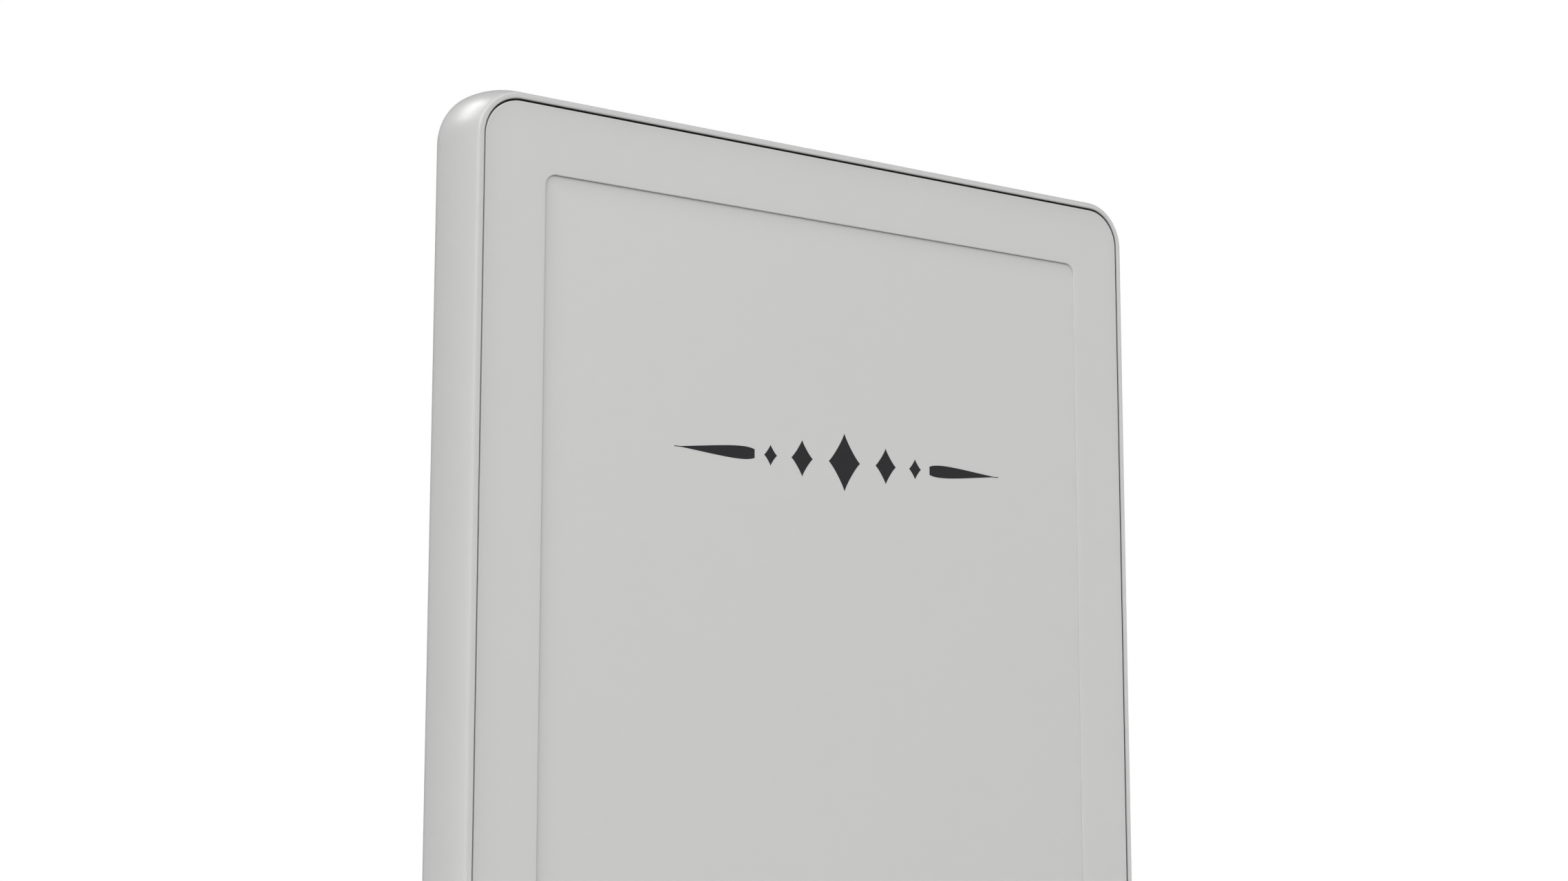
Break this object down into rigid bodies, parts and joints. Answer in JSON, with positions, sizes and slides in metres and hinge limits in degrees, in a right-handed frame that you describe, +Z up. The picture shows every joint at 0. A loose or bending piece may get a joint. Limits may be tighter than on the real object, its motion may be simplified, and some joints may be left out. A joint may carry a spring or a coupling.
{
  "type": "e-reader",
  "caption": "Pocket e-paper reader: thin white casing with a bulging edge, recessed matte screen, rocker keys, page and power keys, card slot, charging socket and a magnetic back.",
  "frame": {"origin": "centre of the magnet ring, on the flat back face", "axes": "+Z up the height when the reader stands upright, +Y out of the back, so the screen faces -Y; +X to the right seen from the screen"},
  "size_m": [0.0694, 0.0062, 0.114],
  "materials": {
    "shell_white": "fine matte moulded white",
    "key_white": "smooth satin white",
    "screen_film": "clear anti-glare film",
    "epaper": "matte paper-white display behind thin glass",
    "foam": "closed-cell foam",
    "adhesive_tape": "black double-sided tape",
    "polyimide": "amber film",
    "plate_steel": "rolled sheet",
    "nickel_steel": "nickel-plated, drawn",
    "screw_steel": "machined",
    "magnet_nickel": "nickel-plated sintered magnet",
    "pouch_foil": "laminated foil",
    "board_green": "solder mask",
    "ivory_plastic": "moulded",
    "black_plastic": "moulded",
    "ceramic_white": "fired ceramic",
    "red_insulation": "soft wire insulation",
    "black_insulation": "soft wire insulation"
  },
  "bodies": {
    "body": {"rear_shell": "shell_white", "front_bezel": "shell_white", "bezel_adhesive": "adhesive_tape", "screen_film": "screen_film", "epaper_panel": "epaper", "display_foam": "foam", "display_flex": "polyimide", "mid_frame": "plate_steel", "main_board": "board_green", "flex_connector": "ivory_plastic", "usb_shell": "nickel_steel", "usb_tongue": "black_plastic", "card_socket": "nickel_steel", "shield_can": "nickel_steel", "processor_chip": "black_plastic", "charger_chip": "black_plastic", "chip_antenna": "ceramic_white", "battery_cell": "pouch_foil", "battery_connector": "ivory_plastic", "battery_lead_positive": "red_insulation", "battery_lead_negative": "black_insulation", "magnet_ring": "magnet_nickel", "magnet_backing": "plate_steel", "side_flex": "polyimide", "side_bracket": "plate_steel", "side_connector": "ivory_plastic", "page_switch_back": "nickel_steel", "page_switch_forward": "nickel_steel", "power_switch": "nickel_steel", "reset_switch": "nickel_steel", "front_switch_left_outer": "nickel_steel", "front_switch_left_inner": "nickel_steel", "front_switch_right_outer": "nickel_steel", "front_switch_right_inner": "nickel_steel", "screw_upper_left": "screw_steel", "screw_upper_middle": "screw_steel", "screw_upper_right": "screw_steel", "screw_lower_left": "screw_steel", "screw_lower_middle": "screw_steel", "screw_lower_right": "screw_steel"},
    "front_key_left": {"front_key_left": "key_white"},
    "front_key_right": {"front_key_right": "key_white"},
    "page_key": {"page_key": "key_white"},
    "power_key": {"power_key": "key_white"},
    "reset_button": {"reset_button": "black_plastic"},
    "memory_card": {"memory_card": "black_plastic"},
    "flex_latch": {"flex_latch": "black_plastic"}
  },
  "joints": [
    {"name": "front_key_left_rock", "type": "hinge", "parent": "body", "child": "front_key_left", "pos_m": [-0.0167, -0.0037, -0.0506], "axis": [0, 0, 1], "range_deg": [-1.1, 1.1], "stiffness_Nm_per_rad": 0.5},
    {"name": "front_key_right_rock", "type": "hinge", "parent": "body", "child": "front_key_right", "pos_m": [0.0167, -0.0037, -0.0506], "axis": [0, 0, 1], "range_deg": [-1.1, 1.1], "stiffness_Nm_per_rad": 0.5},
    {"name": "page_key_rock", "type": "hinge", "parent": "body", "child": "page_key", "pos_m": [0.0286, -0.0028, 0.019], "axis": [0, 1, 0], "range_deg": [-1.1, 1.1], "stiffness_Nm_per_rad": 0.5},
    {"name": "power_key_press", "type": "slide", "parent": "body", "child": "power_key", "axis": [-1, 0, 0], "range_m": [0, 0.00025], "stiffness_N_per_m": 6000, "springref_m": -0.00005},
    {"name": "reset_button_press", "type": "slide", "parent": "body", "child": "reset_button", "axis": [0, 0, 1], "range_m": [0, 0.00025], "stiffness_N_per_m": 4000, "springref_m": -0.00005},
    {"name": "memory_card_slide", "type": "slide", "parent": "body", "child": "memory_card", "axis": [0, 0, -1], "range_m": [0, 0.012]},
    {"name": "flex_latch_slide", "type": "slide", "parent": "body", "child": "flex_latch", "axis": [0, 0, -1], "range_m": [0, 0.0006]}
  ]
}
